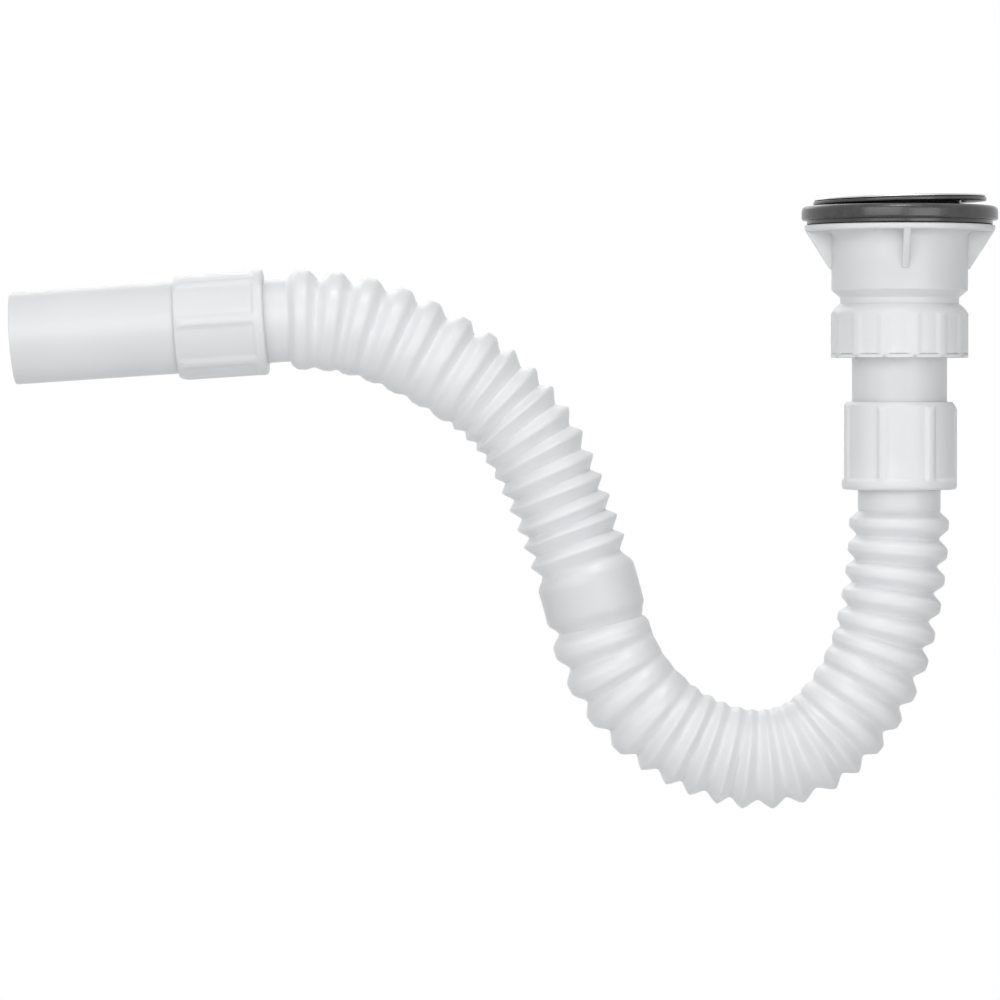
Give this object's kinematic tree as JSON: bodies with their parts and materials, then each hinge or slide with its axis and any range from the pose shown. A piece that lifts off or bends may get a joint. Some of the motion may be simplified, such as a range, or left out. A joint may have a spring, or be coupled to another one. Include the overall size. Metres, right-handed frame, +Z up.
{
  "type": "flexible sink trap",
  "caption": "Sink waste with a clamped strainer, union nut and tail tube, a bent bellows pipe that forms the water seal, and a plain outlet spigot.",
  "frame": {"origin": "on the axis of the waste, at the underside of the sink, between the two gaskets", "axes": "+Z up along the waste's axis into the sink; the pipe lies in the XZ plane and the outlet points to -X"},
  "size_m": [0.4292, 0.0852, 0.2671],
  "materials": {
    "white_plastic": "satin moulded polypropylene",
    "pipe_plastic": "satin blown polypropylene, slightly milky",
    "black_rubber": "smooth moulded rubber",
    "seal_rubber": "smooth moulded rubber",
    "steel": "pressed and polished stainless steel",
    "brass": "turned brass"
  },
  "bodies": {
    "waste": {"waste_body": "white_plastic", "screw_insert": "brass", "lower_gasket": "black_rubber"},
    "strainer": {"strainer_plate": "steel", "upper_gasket": "black_rubber"},
    "screw": {"strainer_screw": "steel"},
    "washer": {"tail_washer": "seal_rubber"},
    "union": {"union_nut": "white_plastic"},
    "tail": {"tail_tube": "white_plastic", "upper_clamp_seal": "seal_rubber"},
    "upper_ring": {"upper_clamp_ring": "white_plastic"},
    "upper_nut": {"upper_clamp_nut": "white_plastic"},
    "pipe": {"bellows_pipe": "pipe_plastic"},
    "outlet": {"outlet_spigot": "white_plastic", "outlet_clamp_seal": "seal_rubber"},
    "outlet_ring": {"outlet_clamp_ring": "white_plastic"},
    "outlet_nut": {"outlet_clamp_nut": "white_plastic"}
  },
  "joints": [
    {"name": "strainer_lift", "type": "slide", "parent": "waste", "child": "strainer", "axis": [0, 0, 1], "range_m": [0, 0.01]},
    {"name": "strainer_screw_turn", "type": "hinge", "parent": "strainer", "child": "screw", "pos_m": [0, 0, 0], "axis": [0, 0, 1], "range_deg": [0, 3610]},
    {"name": "union_drop", "type": "slide", "parent": "waste", "child": "washer", "axis": [0, 0, -1], "range_m": [0, 0.00695]},
    {"name": "union_nut_turn", "type": "hinge", "parent": "washer", "child": "union", "pos_m": [0, 0, -0.053], "axis": [0, 0, -1], "range_deg": [0, 1080]},
    {"name": "tail_swivel", "type": "hinge", "parent": "washer", "child": "tail", "pos_m": [0, 0, -0.058], "axis": [0, 0, 1], "range_deg": [-180, 180]},
    {"name": "upper_ring_shift", "type": "slide", "parent": "tail", "child": "upper_ring", "axis": [0, 0, -1], "range_m": [0, 0.00695]},
    {"name": "upper_nut_turn", "type": "hinge", "parent": "upper_ring", "child": "upper_nut", "pos_m": [0, 0, -0.104], "axis": [0, 0, -1], "range_deg": [0, 1080]},
    {"name": "pipe_stretch", "type": "slide", "parent": "tail", "child": "pipe", "axis": [0, 0, -1], "range_m": [-0.02, 0.03], "deforming": ["bellows_pipe"]},
    {"name": "pipe_bend", "type": "hinge", "parent": "pipe", "child": "outlet", "pos_m": [-0.18339, 0, -0.07765], "axis": [0, 1, 0], "range_deg": [-25, 15], "deforming": ["bellows_pipe"]},
    {"name": "outlet_ring_shift", "type": "slide", "parent": "outlet", "child": "outlet_ring", "axis": [0.9978, 0, 0.0663], "range_m": [0, 0.00695]},
    {"name": "outlet_nut_turn", "type": "hinge", "parent": "outlet_ring", "child": "outlet_nut", "pos_m": [-0.27545, 0, -0.05029], "axis": [0.9978, 0, 0.0663], "range_deg": [0, 1080]}
  ],
  "couplings": [
    {"joint": "strainer_screw_turn", "follows": "strainer_lift", "rad_per_m": 6283.2},
    {"joint": "union_drop", "follows": "union_nut_turn", "m_per_rad": 0.00036755},
    {"joint": "upper_ring_shift", "follows": "upper_nut_turn", "m_per_rad": 0.00036755},
    {"joint": "outlet_ring_shift", "follows": "outlet_nut_turn", "m_per_rad": 0.00036755}
  ]
}
